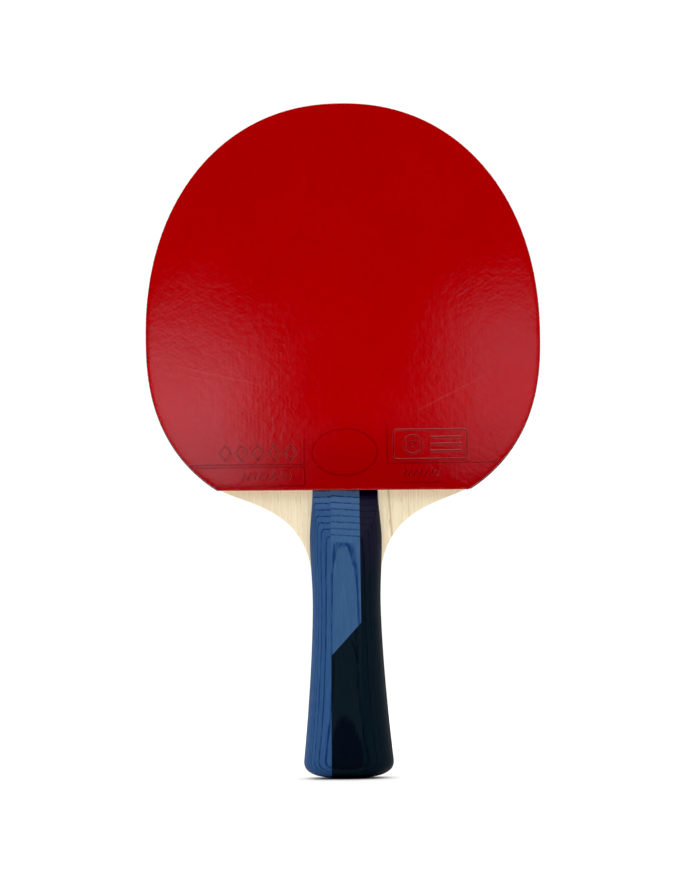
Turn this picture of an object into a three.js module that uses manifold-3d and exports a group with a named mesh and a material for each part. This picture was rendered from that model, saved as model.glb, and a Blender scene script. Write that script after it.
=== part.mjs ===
// A table tennis paddle with a flared handle: a five-ply blade, a sponge and a pimpled
// rubber topsheet on each face, and two handle scales. Each scale is four blocks of dyed,
// pressed veneer. All sizes are in millimetres.
//
// Frame: the origin is the middle of the grip, on the blade's mid-plane. +Z runs up the
// handle to the head, -Y is the forehand side and +X is to the right of the forehand.

import * as THREE from 'three';
import { mergeVertices } from 'three/addons/utils/BufferGeometryUtils.js';
import Module from 'manifold-3d';

const wasm = await Module();
wasm.setup();

// Head: a superellipse whose upper and lower halves have their own height and power
const HEAD_HALF_WIDTH = 75.2;
const HEAD_WIDEST_Z = 112.8;
const HEAD_UPPER = { height: 89.6, power: 2.16 };
const HEAD_LOWER = { height: 69.0, power: 2.39 };
const HEAD_STEPS = 96;

// Blade plies, from the middle outwards
const CORE_THICKNESS = 3.0;
const INNER_PLY_THICKNESS = 0.9;
const FACE_PLY_THICKNESS = 0.6;
const BLADE_INSET = 0.7;

// Neck: the wing runs from the head's lower edge into the side of the handle
const NECK_Z = 55;
const WING_HEAD_PULL = [34.1, 48.8];
const WING_HANDLE_PULL = [12.9, 47.2];
const WING_END = [12.7, 17];
const WING_STEPS = 16;

// Rubbers: trimmed by hand, so each has its own insets from the head's outline, and a
// straight lower edge that is a little out of square
const SPONGE_THICKNESS = 1.8;
const TOPSHEET_THICKNESS = 1.9;
const RUBBER_EDGE_Z = 55;
const FOREHAND_CUT = { spongeInset: 0.55, topsheetInset: 0.4, skewDeg: -0.45 };
const BACKHAND_CUT = { spongeInset: 0.4, topsheetInset: -0.35, skewDeg: -0.3 };

// Handle: an oval section that swells below its shoulder, narrows at the waist and flares.
// The oval is a little wider than the handle, and is sanded flat where it crosses the blade.
const BUTT_Z = -54.8;
const WAIST_Z = 13;
const WAIST_HALF_WIDTH = 12.97;
const SWELL_Z = 36;
const SWELL = 0.79;
const SHOULDER_TAPER = 1.25;
const FLARE = { rate: 0.006175, power: 1.585 };
const CROWN_Z = 5;
const CROWN_HALF_DEPTH = 11.5;
const CROWN_DROP = { amount: 0.45, length: 30 };
const BUTT_DEEPENING = { amount: 0.8, length: 60, power: 3 };
const DOME = { depth: 7.8, power: 2.68 };
const SECTION_POWER = 2.45;
const SECTION_FULLNESS = 1.012;
const SECTION_STEPS = 40;
const DOME_STEPS = 7;
const GRIP_STEPS = 21;

// Handle scales: a ramp at the top, and three strips, the middle one scarfed from two blocks.
// The right seam is parallel to the handle and the left one leans outwards towards the butt.
const SCALE_TOP_Z = 54.84;
const SCALE_TOP_STEP = 0.05;
const RAMP_SLOPE = 1 / 2.45;
const RIGHT_SEAM_X = 5.4;
const LEFT_SEAM = { x: -6.05, lean: 0.01 };
const SCARF_LOW_Z = -7.8;
const SCARF_HIGH_Z = 4.7;

const REACH = 120;
const BLADE_HALF = CORE_THICKNESS / 2 + INNER_PLY_THICKNESS + FACE_PLY_THICKNESS;

const MATERIALS = {
  faceVeneer: { color: '#e6d6b2', roughness: 0.6 },
  innerVeneer: { color: '#d8c094', roughness: 0.65 },
  coreWood: { color: '#dfcda6', roughness: 0.7 },
  redRubber: { color: '#a80206', roughness: 0.42 },
  blackRubber: { color: '#111113', roughness: 0.42 },
  sponge: { color: '#d9a066', roughness: 0.95 },
  blueVeneer: { color: '#3c5f90', roughness: 0.38 },
  blackVeneer: { color: '#0a1820', roughness: 0.38 },
};

function toSolid(geometry) {
  const bare = geometry.index ? geometry.toNonIndexed() : geometry.clone();
  bare.deleteAttribute('normal');
  bare.deleteAttribute('uv');
  const merged = mergeVertices(bare, 1e-5);
  const vertProperties = new Float32Array(merged.attributes.position.array);
  const triVerts = new Uint32Array(merged.index.array);
  return new wasm.Manifold(new wasm.Mesh({ numProp: 3, vertProperties, triVerts }));
}

function toGeometry(solid) {
  const mesh = solid.getMesh();
  const geometry = new THREE.BufferGeometry();
  geometry.setAttribute('position', new THREE.BufferAttribute(mesh.vertProperties, 3));
  geometry.setIndex(new THREE.BufferAttribute(mesh.triVerts, 1));
  geometry.computeVertexNormals();
  return geometry;
}

// A solid with an outline in X and Z, from one Y to another
function plate(outline, fromY, toY) {
  const shape = new THREE.Shape(outline);
  const geometry = new THREE.ExtrudeGeometry(shape, { depth: toY - fromY, bevelEnabled: false });
  const upright = new THREE.Matrix4().set(1, 0, 0, 0, 0, 0, -1, toY, 0, 1, 0, 0, 0, 0, 0, 1);
  return toSolid(geometry.applyMatrix4(upright));
}

// A solid with an outline in Z and Y, as wide as the whole paddle
function sidePrism(outline) {
  const shape = new THREE.Shape(outline);
  const geometry = new THREE.ExtrudeGeometry(shape, { depth: 2 * REACH, bevelEnabled: false });
  const sideways = new THREE.Matrix4().set(0, 0, -1, REACH, 0, 1, 0, 0, 1, 0, 0, 0, 0, 0, 0, 1);
  return toSolid(geometry.applyMatrix4(sideways));
}

const points = (pairs) => pairs.map(([x, y]) => new THREE.Vector2(x, y));
const rectangle = (left, right, low, high) => [[left, low], [right, low], [right, high], [left, high]];
const signedPower = (value, power) => Math.sign(value) * Math.abs(value) ** power;

// The head's outline, drawn in by an inset, at an angle counted from +X
function headPoint(angle, inset) {
  const half = Math.sin(angle) < 0 ? HEAD_LOWER : HEAD_UPPER;
  const x = (HEAD_HALF_WIDTH - inset) * signedPower(Math.cos(angle), 2 / half.power);
  const z = (half.height - inset) * signedPower(Math.sin(angle), 2 / half.power);
  return new THREE.Vector2(x, HEAD_WIDEST_Z + z);
}

// The angle at which the lower half of that outline comes down to the neck
function neckAngle(inset) {
  const drop = (HEAD_WIDEST_Z - NECK_Z) / (HEAD_LOWER.height - inset);
  return -Math.asin(drop ** (HEAD_LOWER.power / 2));
}

function headOutline(inset) {
  const outline = [];
  for (let i = 0; i < HEAD_STEPS; i += 1) {
    outline.push(headPoint((2 * Math.PI * i) / HEAD_STEPS, inset));
  }
  return outline;
}

function bladeOutline() {
  const start = neckAngle(BLADE_INSET);
  const sweep = Math.PI - 2 * start;
  const head = [];
  for (let i = 0; i <= HEAD_STEPS; i += 1) {
    head.push(headPoint(start + (sweep * i) / HEAD_STEPS, BLADE_INSET));
  }
  const corner = head[0];
  const [headPull, handlePull, end] = points([WING_HEAD_PULL, WING_HANDLE_PULL, WING_END]);
  const wing = new THREE.CubicBezierCurve(corner, headPull, handlePull, end).getPoints(WING_STEPS);
  const rightWing = wing.slice(1).reverse();
  const leftWing = wing.slice(1).map((p) => new THREE.Vector2(-p.x, p.y));
  return [...rightWing, ...head, ...leftWing];
}

function handleHalfWidth(z) {
  if (z < WAIST_Z) return WAIST_HALF_WIDTH + FLARE.rate * (WAIST_Z - z) ** FLARE.power;
  const rise = THREE.MathUtils.smoothstep(z, WAIST_Z, SWELL_Z);
  const fall = THREE.MathUtils.smoothstep(z, SWELL_Z, SCALE_TOP_Z);
  return WAIST_HALF_WIDTH + SWELL * rise - SHOULDER_TAPER * fall;
}

function handleHalfDepth(z) {
  const above = (z - CROWN_Z) / CROWN_DROP.length;
  if (above > 0) return CROWN_HALF_DEPTH - CROWN_DROP.amount * above * above;
  const below = (CROWN_Z - z) / BUTT_DEEPENING.length;
  return CROWN_HALF_DEPTH + BUTT_DEEPENING.amount * below ** BUTT_DEEPENING.power;
}

// Heights of the handle's rings, and how far the domed butt has shrunk each one
function handleRings() {
  const rings = [];
  const domeTop = BUTT_Z + DOME.depth;
  for (let i = DOME_STEPS - 1; i > 0; i -= 1) {
    const angle = (Math.PI / 2) * (i / DOME_STEPS);
    const z = domeTop - DOME.depth * Math.sin(angle) ** (2 / DOME.power);
    rings.push({ z, shrink: Math.cos(angle) ** (2 / DOME.power) });
  }
  const top = NECK_Z + 1;
  for (let i = 0; i <= GRIP_STEPS; i += 1) {
    rings.push({ z: domeTop + ((top - domeTop) * i) / GRIP_STEPS, shrink: 1 });
  }
  return rings;
}

// The oval solid that the blade's tongue and both scales are shaped to
function handleEnvelope() {
  const rings = handleRings();
  const positions = [];
  for (const { z, shrink } of rings) {
    const side = handleHalfWidth(z) * shrink;
    for (let i = 0; i < SECTION_STEPS; i += 1) {
      const angle = (2 * Math.PI * i) / SECTION_STEPS;
      const x = side * SECTION_FULLNESS * signedPower(Math.cos(angle), 2 / SECTION_POWER);
      const y = handleHalfDepth(z) * shrink * signedPower(Math.sin(angle), 2 / SECTION_POWER);
      positions.push(THREE.MathUtils.clamp(x, -side, side), y, z);
    }
  }
  const butt = positions.length / 3;
  const crown = butt + 1;
  positions.push(0, 0, BUTT_Z, 0, 0, rings[rings.length - 1].z);
  const faces = [];
  const topRing = (rings.length - 1) * SECTION_STEPS;
  for (let i = 0; i < SECTION_STEPS; i += 1) {
    const next = (i + 1) % SECTION_STEPS;
    faces.push(butt, next, i);
    faces.push(crown, topRing + i, topRing + next);
    for (let ring = 0; ring < topRing; ring += SECTION_STEPS) {
      faces.push(ring + i, ring + next, ring + SECTION_STEPS + i);
      faces.push(ring + next, ring + SECTION_STEPS + next, ring + SECTION_STEPS + i);
    }
  }
  const geometry = new THREE.BufferGeometry();
  geometry.setAttribute('position', new THREE.Float32BufferAttribute(positions, 3));
  geometry.setIndex(faces);
  return toSolid(geometry);
}

const paddle = new THREE.Group();

function addPiece(name, solid, material) {
  const finish = new THREE.MeshStandardMaterial({ ...MATERIALS[material], metalness: 0 });
  const mesh = new THREE.Mesh(toGeometry(solid), finish);
  mesh.name = name;
  paddle.add(mesh);
}

// Blade: plies cut from one blank, whose tongue is sanded flush with the oval handle
function addBlade(envelope) {
  const blank = plate(bladeOutline(), -BLADE_HALF - 1, BLADE_HALF + 1).add(envelope);
  const everywhere = points(rectangle(-REACH, REACH, -REACH, 2 * REACH));
  const addPly = (name, fromY, toY, material) => {
    addPiece(name, blank.intersect(plate(everywhere, fromY, toY)), material);
  };
  const coreHalf = CORE_THICKNESS / 2;
  const innerHalf = coreHalf + INNER_PLY_THICKNESS;
  addPly('blade_core_ply', -coreHalf, coreHalf, 'coreWood');
  addPly('blade_inner_ply_front', -innerHalf, -coreHalf, 'innerVeneer');
  addPly('blade_inner_ply_back', coreHalf, innerHalf, 'innerVeneer');
  addPly('blade_face_ply_front', -BLADE_HALF, -innerHalf, 'faceVeneer');
  addPly('blade_face_ply_back', innerHalf, BLADE_HALF, 'faceVeneer');
}

// Rubbers: a sponge glued to the blade and a topsheet glued to the sponge, on each side
function addRubber(side, direction, cut, colour) {
  const edgeRise = REACH * Math.tan(THREE.MathUtils.degToRad(cut.skewDeg));
  const kept = points([
    [-REACH, RUBBER_EDGE_Z - edgeRise],
    [REACH, RUBBER_EDGE_Z + edgeRise],
    [REACH, 2 * REACH],
    [-REACH, 2 * REACH],
  ]);
  const addLayer = (name, inset, inner, thickness, material) => {
    const [low, high] = [direction * inner, direction * (inner + thickness)].sort((a, b) => a - b);
    const sheet = plate(headOutline(inset), low, high);
    addPiece(name, sheet.intersect(plate(kept, low - 1, high + 1)), material);
  };
  addLayer(`${side}_sponge`, cut.spongeInset, BLADE_HALF, SPONGE_THICKNESS, 'sponge');
  const spongeTop = BLADE_HALF + SPONGE_THICKNESS;
  addLayer(`${side}_topsheet`, cut.topsheetInset, spongeTop, TOPSHEET_THICKNESS, colour);
}

// One handle scale's blocks. The back scale is the front one turned half round the handle.
function addScale(side, direction, envelope) {
  const rampTop = BLADE_HALF + SCALE_TOP_STEP;
  const profile = [
    [-REACH, BLADE_HALF],
    [SCALE_TOP_Z, BLADE_HALF],
    [SCALE_TOP_Z, rampTop],
    [SCALE_TOP_Z - (REACH - rampTop) / RAMP_SLOPE, REACH],
    [-REACH * 3, REACH],
  ];
  const turned = profile.map(([z, y]) => [z, direction * y]);
  const scale = envelope.intersect(sidePrism(points(turned)));
  const block = (outline) => {
    const spun = outline.map(([x, z]) => [-direction * x, z]);
    return scale.intersect(plate(points(spun), -REACH, REACH));
  };
  const leftSeam = (z) => [LEFT_SEAM.x + LEFT_SEAM.lean * z, z];
  const rightSeam = (z) => [RIGHT_SEAM_X, z];
  const left = [[-REACH, -REACH], leftSeam(-REACH), leftSeam(REACH), [-REACH, REACH]];
  const right = rectangle(RIGHT_SEAM_X, REACH, -REACH, REACH);
  const scarf = [leftSeam(SCARF_LOW_Z), rightSeam(SCARF_HIGH_Z)];
  const above = [...scarf, rightSeam(REACH), leftSeam(REACH)];
  const below = [...scarf, rightSeam(-REACH), leftSeam(-REACH)];
  addPiece(`handle_${side}_left_strip`, block(left), 'blueVeneer');
  addPiece(`handle_${side}_right_strip`, block(right), 'blackVeneer');
  addPiece(`handle_${side}_middle_upper`, block(above), 'blueVeneer');
  addPiece(`handle_${side}_middle_lower`, block(below), 'blackVeneer');
}

const envelope = handleEnvelope();
addBlade(envelope);
addRubber('forehand', -1, FOREHAND_CUT, 'redRubber');
addRubber('backhand', 1, BACKHAND_CUT, 'blackRubber');
addScale('front', -1, envelope);
addScale('back', 1, envelope);

export default paddle;
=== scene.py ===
"""The looks of a table tennis paddle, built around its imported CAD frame.

Every piece is made in millimetres, in the frame's own axes: +Z up the handle to the head, -Y out of
the red forehand face, +X to the right of it. add_piece() turns millimetres into metres.
"""

import math

import bmesh
import bpy
import numpy as np
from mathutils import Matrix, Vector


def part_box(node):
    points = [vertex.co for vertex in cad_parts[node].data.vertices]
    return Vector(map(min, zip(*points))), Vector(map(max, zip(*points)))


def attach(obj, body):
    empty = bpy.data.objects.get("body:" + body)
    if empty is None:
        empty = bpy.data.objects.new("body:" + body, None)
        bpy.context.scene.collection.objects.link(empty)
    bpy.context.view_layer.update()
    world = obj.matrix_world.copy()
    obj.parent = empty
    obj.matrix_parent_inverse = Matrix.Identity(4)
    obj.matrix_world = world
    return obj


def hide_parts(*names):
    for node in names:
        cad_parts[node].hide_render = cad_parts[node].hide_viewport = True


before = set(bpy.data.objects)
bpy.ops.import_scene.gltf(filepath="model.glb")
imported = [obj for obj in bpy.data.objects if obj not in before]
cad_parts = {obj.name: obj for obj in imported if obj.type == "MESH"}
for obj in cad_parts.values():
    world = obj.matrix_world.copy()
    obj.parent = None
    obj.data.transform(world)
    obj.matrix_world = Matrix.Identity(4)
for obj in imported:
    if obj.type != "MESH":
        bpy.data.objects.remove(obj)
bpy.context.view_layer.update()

MM = 0.001


def cad(node):
    """The lowest and highest corner of a CAD node, in millimetres."""
    low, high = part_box(node)
    return np.array(low) / MM, np.array(high) / MM


# ---------------------------------------------------------------- sizes, in millimetres

BLADE_HALF = cad("blade_face_ply_back")[1][1]
INNER_HALF = cad("blade_inner_ply_back")[1][1]
CORE_HALF = cad("blade_core_ply")[1][1]
SPONGE_OUT = cad("backhand_sponge")[1][1]
RUBBER_OUT = cad("backhand_topsheet")[1][1]
BUTT_Z = cad("blade_core_ply")[0][2]
SCALE_TOP_Z = cad("handle_front_left_strip")[1][2]
RIGHT_SEAM_X = cad("handle_front_middle_upper")[1][0]
SCARF_LOW_Z = cad("handle_front_middle_upper")[0][2]
SCARF_HIGH_Z = cad("handle_front_middle_lower")[1][2]

# The head is a superellipse whose two halves have their own height and power
HEAD_HALF_WIDTH = 75.2
HEAD_WIDEST_Z = 112.8
HEAD_UPPER = (89.6, 2.16)
HEAD_LOWER = (69.0, 2.39)
BLADE_INSET = 0.7
NECK_Z = 55.0
WING_CURVE = [(34.1, 48.8), (12.9, 47.2), (12.7, 17.0)]

# The handle's oval swells under the head, narrows at the waist and flares to a domed butt
WAIST_Z, WAIST_HALF_WIDTH = 13.0, 12.97
SWELL_Z, SWELL, SHOULDER_TAPER = 36.0, 0.79, 1.25
FLARE_RATE, FLARE_POWER = 0.006175, 1.585
CROWN_Z, CROWN_HALF_DEPTH = 5.0, 11.5
CROWN_DROP, CROWN_DROP_LENGTH = 0.45, 30.0
BUTT_DEEPENING, BUTT_DEEPENING_LENGTH = 0.8, 60.0
SECTION_POWER = 2.45
SECTION_FULLNESS = 1.012
DOME_DEPTH, DOME_POWER = 7.8, 2.68
DOME_TOP_Z = BUTT_Z + DOME_DEPTH
LEFT_SEAM_X, LEFT_SEAM_LEAN = -6.05, 0.01
RAMP_SLOPE = 1 / 2.45
RAMP_STEP = 0.05
RAMP_ROUNDING = 0.7
FACE_SANDING = 0.35

# Each rubber has its side, the direction that its face looks in along Y, how far its sponge and
# topsheet stand inside the head's outline, and how many degrees its straight edge is out of square.
# The black topsheet is drawn 0.2 mm inside the CAD's.
FOREHAND = {"side": "forehand", "out": -1, "sponge": 0.55, "topsheet": 0.4, "skew": -0.45}
BACKHAND = {"side": "backhand", "out": 1, "sponge": 0.4, "topsheet": -0.15, "skew": -0.3}
RUBBER_EDGE_Z = 55.0
SKIN_THICKNESS = 0.9
SKIN_OVERLAP = 0.05
PIMPLE_PITCH = 1.8
PIMPLE_ROOT_RADIUS, PIMPLE_TIP_RADIUS = 0.62, 0.52
PIMPLE_SIDES = 10
PIMPLE_BAND = 5.0
PIMPLE_FIELD_Z = 53.0
PIMPLE_COLUMNS, PIMPLE_ROWS = range(-50, 51), range(-2, 86)
SPONGE_PINCH, SPONGE_ROWS = 0.12, 9

# How finely the curves are drawn, in steps or in millimetres between rows
HEAD_STEPS, RUBBER_STEPS, RUBBER_EDGE_STEPS, WING_STEPS = 190, 420, 90, 240
TONGUE_DOME_STEPS, SCALE_DOME_STEPS = 22, 34
TONGUE_SPACING, WING_SPACING, STRIP_SPACING = 1.2, 0.6, 0.55
STRIP_COLUMNS, MIDDLE_COLUMNS = 56, 46
UPPER_BLOCK_ROWS, LOWER_BLOCK_ROWS = 120, 90
SHARP_DEG, RUBBER_SHARP_DEG = 32, 24
MERGE_M, DEGENERATE_M = 1e-6, 1e-7

# The face plies' sanding fades out down the wings, to nothing at this height, where the plies are
# flush with the handle scales
SANDING_FADE_Z, SANDING_FADE_LENGTH = 24, 8


# ---------------------------------------------------------------- shapes as formulas

def smooth(value, low, high):
    """0 below low, 1 above high and an S-curve between them."""
    share = np.clip((value - low) / (high - low), 0, 1)
    return share * share * (3 - 2 * share)


def handle_half_width(z):
    flare = WAIST_HALF_WIDTH + FLARE_RATE * np.maximum(WAIST_Z - z, 0) ** FLARE_POWER
    return flare + SWELL * smooth(z, WAIST_Z, SWELL_Z) - SHOULDER_TAPER * smooth(z, SWELL_Z, SCALE_TOP_Z)


def handle_half_depth(z):
    above = np.maximum(z - CROWN_Z, 0) / CROWN_DROP_LENGTH
    below = np.maximum(CROWN_Z - np.maximum(z, DOME_TOP_Z), 0) / BUTT_DEEPENING_LENGTH
    return CROWN_HALF_DEPTH - CROWN_DROP * above ** 2 + BUTT_DEEPENING * below ** 3


def left_over(share, shrink):
    """How far the oval section reaches along one axis, as a share, at a share of the other axis."""
    return np.maximum(shrink ** SECTION_POWER - np.abs(share) ** SECTION_POWER, 0) ** (1 / SECTION_POWER)


def width_share(deep, shrink=1.0):
    """How far out the oval section is, as a share of its half width, at a share of its half depth."""
    return np.minimum(SECTION_FULLNESS * left_over(deep, shrink), shrink)


def depth_share(wide, shrink=1.0):
    """How deep the oval section is, as a share of its half depth, at a share of its half width."""
    return left_over(wide / SECTION_FULLNESS, shrink)


def dome_shrink(z):
    """How far the domed butt has shrunk the oval, from 1 at the dome's top to 0 at the butt."""
    down = np.clip((DOME_TOP_Z - z) / DOME_DEPTH, 0, 1)
    return (1 - down ** DOME_POWER) ** (1 / DOME_POWER)


def dome_z(shrink):
    """The height at which the domed butt has shrunk the oval by a factor."""
    return DOME_TOP_Z - DOME_DEPTH * (1 - np.clip(shrink, 0, 1) ** DOME_POWER) ** (1 / DOME_POWER)


def ramp_depth(z):
    """The depth of the sanded ramp that each handle scale ends in under the rubber."""
    return BLADE_HALF + RAMP_STEP + (SCALE_TOP_Z - z) * RAMP_SLOPE


def worn_minimum(a, b, rounding):
    """The lower of two surfaces, with the ridge between them rounded by sanding."""
    blend = np.maximum(rounding - np.abs(a - b), 0) / rounding
    return np.minimum(a, b) - blend * blend * rounding / 4


def scale_surface(oval, z):
    """The depth of a handle scale's surface, where the oval alone would have the given depth."""
    ramp = ramp_depth(z)
    rounding = np.clip((ramp - BLADE_HALF) * 0.8, 0.01, RAMP_ROUNDING)
    return np.maximum(worn_minimum(oval, ramp, rounding), BLADE_HALF)


def head_point(angle, inset):
    """A point on the head's outline moved inwards by an inset."""
    height, power = HEAD_LOWER if math.sin(angle) < 0 else HEAD_UPPER
    c, s = math.cos(angle), math.sin(angle)
    x = (HEAD_HALF_WIDTH - inset) * math.copysign(abs(c) ** (2 / power), c)
    z = (height - inset) * math.copysign(abs(s) ** (2 / power), s)
    return x, HEAD_WIDEST_Z + z


def bisect(low, high, is_low):
    """The place between low and high where is_low stops being true."""
    for _ in range(50):
        middle = (low + high) / 2
        low, high = (middle, high) if is_low(middle) else (low, middle)
    return (low + high) / 2


def spaced(start, end, step):
    """Even steps from start to end, about as long as step."""
    count = max(2, int(round(abs(end - start) / step)) + 1)
    return np.linspace(start, end, count)


def eased(start, end, count):
    """Steps from start to end that are closest together at the start."""
    return start + (end - start) * (1 - np.cos(np.linspace(0, math.pi / 2, count)))


# ---------------------------------------------------------------- making a piece

def add_piece(name, vertices, faces, material, nodes, crease=SHARP_DEG):
    """A closed mesh from millimetre vertices: it rides on the root and stands for its CAD nodes."""
    mesh = bpy.data.meshes.new(name)
    mesh.from_pydata((np.asarray(vertices, float) * MM).tolist(), [], faces)
    mesh.validate()
    clean(mesh)
    mesh.shade_smooth()
    mesh.set_sharp_from_angle(angle=math.radians(crease))
    mesh.materials.append(material)
    piece = bpy.data.objects.new(name, mesh)
    bpy.context.scene.collection.objects.link(piece)
    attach(piece, "root")
    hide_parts(*nodes)
    return piece


def clean(mesh):
    """Merges the points where rows of a grid run together, and turns the faces outwards."""
    bm = bmesh.new()
    bm.from_mesh(mesh)
    bmesh.ops.remove_doubles(bm, verts=bm.verts, dist=MERGE_M)
    bmesh.ops.dissolve_degenerate(bm, dist=DEGENERATE_M, edges=bm.edges)
    bmesh.ops.recalc_face_normals(bm, faces=bm.faces)
    bm.to_mesh(mesh)
    bm.free()


class Builder:
    """Gathers the vertices and faces of one piece."""

    def __init__(self):
        self.vertices = []
        self.faces = []

    def add(self, points):
        first = len(self.vertices)
        self.vertices.extend([tuple(p) for p in points])
        return list(range(first, len(self.vertices)))

    def grid(self, rows):
        """Quads between rows of vertex numbers, all of one length."""
        for a, b in zip(rows, rows[1:]):
            for i in range(len(a) - 1):
                self.faces.append((a[i], a[i + 1], b[i + 1], b[i]))

    def tube(self, rings):
        """Quads between closed rings of vertex numbers, all of one length."""
        for a, b in zip(rings, rings[1:]):
            for i in range(len(a)):
                j = (i + 1) % len(a)
                self.faces.append((a[i], a[j], b[j], b[i]))

    def cap(self, loop):
        self.faces.append(tuple(loop))


# ---------------------------------------------------------------- blade plies

def wing_half_width():
    """The wing's curve as half widths against heights, from the head's edge into the handle."""
    start = head_point(neck_angle(BLADE_INSET), BLADE_INSET)
    p = [np.array(q, float) for q in [start, *WING_CURVE]]
    t = np.linspace(0, 1, WING_STEPS)[:, None]
    u = 1 - t
    curve = u ** 3 * p[0] + 3 * u ** 2 * t * p[1] + 3 * u * t ** 2 * p[2] + t ** 3 * p[3]
    return curve[::-1, 1], curve[::-1, 0]


def neck_angle(inset):
    """The angle at which the head's outline comes down to the neck."""
    drop = (HEAD_WIDEST_Z - NECK_Z) / (HEAD_LOWER[0] - inset)
    return -math.asin(drop ** (HEAD_LOWER[1] / 2))


def blade_half_outline(depth):
    """The right half of the blade's outline on a plane at a depth, from the butt to the crown."""
    heights, widths = wing_half_width()
    lowest = dome_z(abs(depth) / handle_half_depth(BUTT_Z))
    wing_end_z = WING_CURVE[2][1]
    dome = eased(lowest, DOME_TOP_Z, TONGUE_DOME_STEPS)
    tongue = spaced(DOME_TOP_Z, wing_end_z, TONGUE_SPACING)[1:]
    wing = spaced(wing_end_z, NECK_Z, WING_SPACING)[1:]
    points = [(0.0, lowest)]
    for z in [*dome, *tongue, *wing]:
        side = handle_half_width(z) * width_share(depth / handle_half_depth(z), dome_shrink(z))
        wood = np.interp(z, heights, widths) if z > wing_end_z else 0
        points.append((max(side, wood), z))
    for angle in np.linspace(neck_angle(BLADE_INSET), math.pi / 2, HEAD_STEPS)[1:]:
        points.append(head_point(angle, BLADE_INSET))
    return points


def eased_in(outline, inset):
    """The outline moved inwards by an inset that fades out down the wings."""
    p = np.array(outline)
    along = np.roll(p, -1, axis=0) - np.roll(p, 1, axis=0)
    length = np.maximum(np.linalg.norm(along, axis=1), 1e-9)
    inward = np.stack([-along[:, 1], along[:, 0]], axis=1) / length[:, None]
    fade = np.clip((p[:, 1] - SANDING_FADE_Z) / SANDING_FADE_LENGTH, 0, 1)[:, None]
    return p + inward * inset * fade


def blade_loop(depth, inset):
    right = blade_half_outline(depth)
    left = [(-x, z) for x, z in right[-2:0:-1]]
    loop = eased_in(right + left, inset)
    return [(x, depth, z) for x, z in loop]


def add_ply(node, inner, outer, material, sanded=0.0):
    """One ply between two depths. A sanded edge is rounded at its outer depth."""
    b = Builder()
    out = 1 if outer > inner else -1
    levels = [(inner, 0.0)]
    if sanded:
        for turn in np.linspace(0, math.pi / 2, 5):
            depth = outer - out * sanded * (1 - math.sin(turn))
            levels.append((depth, sanded * (1 - math.cos(turn))))
    else:
        levels.append((outer, 0.0))
    rings = [b.add(blade_loop(depth, inset)) for depth, inset in levels]
    b.tube(rings)
    b.cap(rings[0][::-1])
    b.cap(rings[-1])
    add_piece(node + "_wood", b.vertices, b.faces, material, [node])


# ---------------------------------------------------------------- handle scales

class Scale:
    """A handle scale on one side. The back scale is the front one turned half round the handle."""

    def __init__(self, side):
        self.side = side
        self.out = -1 if side == "front" else 1

    def place(self, x, depth, z):
        """A point from its X seen square on to the scale, and its depth out from the blade."""
        return (-self.out * x, self.out * depth, z)


def left_seam(z):
    """The left seam leans outwards towards the butt. The right one is parallel to the handle."""
    return LEFT_SEAM_X + LEFT_SEAM_LEAN * z


def seam_distance(hand, z):
    return RIGHT_SEAM_X if hand > 0 else -left_seam(z)


def strip_rows(hand):
    """Heights of an outer strip's rows, from the point where the dome closes it off to its top."""
    def closed(z):
        half_width = handle_half_width(z) * width_share(BLADE_HALF / handle_half_depth(z), dome_shrink(z))
        return half_width < seam_distance(hand, z)
    dome = eased(bisect(BUTT_Z, DOME_TOP_Z, closed), DOME_TOP_Z, SCALE_DOME_STEPS)
    return np.concatenate([dome, spaced(DOME_TOP_Z, SCALE_TOP_Z, STRIP_SPACING)[1:]])


def add_outer_strip(scale, hand, name, material):
    """The left (-1) or right (1) strip: a grid from the blade's plane up round the oval to the seam."""
    b = Builder()
    columns = np.linspace(0, 1, STRIP_COLUMNS)
    rows, base, seam_foot = [], [], []
    for z in strip_rows(hand):
        seam_x = seam_distance(hand, z)
        shrink = max(float(dome_shrink(z)), 1e-6)
        side = float(handle_half_width(z)) * shrink
        width = side * SECTION_FULLNESS
        depth = float(handle_half_depth(z)) * shrink
        edge = math.asin(min(1, BLADE_HALF / depth) ** (SECTION_POWER / 2))
        seam = max(edge, math.acos(min(1, seam_x / width) ** (SECTION_POWER / 2)))
        angles = edge + (seam - edge) * columns
        y = scale_surface(depth * np.sin(angles) ** (2 / SECTION_POWER), z)
        x = np.clip(width * np.cos(angles) ** (2 / SECTION_POWER), seam_x, max(side, seam_x))
        rows.append(b.add(scale.place(hand * px, py, z) for px, py in zip(x, y)))
        base.append(scale.place(hand * x[0], BLADE_HALF, z))
        seam_foot.append(scale.place(hand * seam_x, BLADE_HALF, z))
    top = [b.vertices[i] for i in rows[-1]]
    top_foot = b.add((x, scale.out * BLADE_HALF, z) for x, y, z in top)
    seam_line = b.add(seam_foot)
    b.grid(rows)
    b.grid([[row[-1] for row in rows], seam_line])
    b.grid([rows[-1], top_foot])
    edge_line = [row[0] for row in rows]
    b.cap(edge_line + top_foot[1:-1] + seam_line[::-1])
    add_piece(name + "_block", b.vertices, b.faces, material, [name])


def column_x(share, z):
    """The X of a middle block's column, which is a share of the way from the left seam to the right."""
    return left_seam(z) + (RIGHT_SEAM_X - left_seam(z)) * share


def settled(start, following):
    """The height that a slowly changing rule leads back to itself."""
    z = start
    for _ in range(6):
        z = following(z)
    return z


def scarf_z(share):
    """The height of the scarf joint at a column of the middle strip."""
    left = left_seam(SCARF_LOW_Z)

    def on_scarf(z):
        along = (column_x(share, z) - left) / (RIGHT_SEAM_X - left)
        return SCARF_LOW_Z + (SCARF_HIGH_Z - SCARF_LOW_Z) * along
    return settled(SCARF_LOW_Z, on_scarf)


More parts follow.
